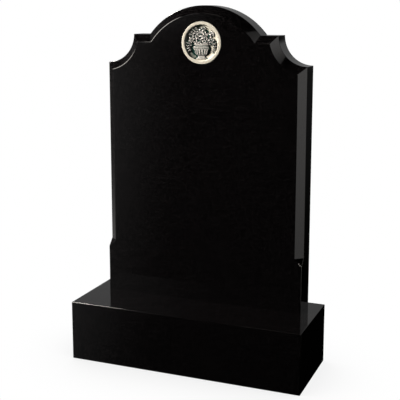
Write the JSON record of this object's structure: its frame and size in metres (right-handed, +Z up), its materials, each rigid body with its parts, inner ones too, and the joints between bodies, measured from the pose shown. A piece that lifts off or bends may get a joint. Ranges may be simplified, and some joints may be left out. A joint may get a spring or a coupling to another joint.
{
  "type": "headstone",
  "caption": "Upright black granite headstone on a base block, with an arched top, scotia shoulders, a stopped chamfer and a round inset flower medallion.",
  "frame": {"origin": "middle of the base block's underside", "axes": "+Z up, +X to the right of a reader who faces the stone, the carved face looks along -Y"},
  "size_m": [0.813, 0.302, 1.2073],
  "materials": {
    "black_granite": "polished",
    "cast_medallion": "satin"
  },
  "bodies": {
    "root": {"base": "black_granite", "tablet": "black_granite", "medallion": "cast_medallion"}
  },
  "joints": []
}
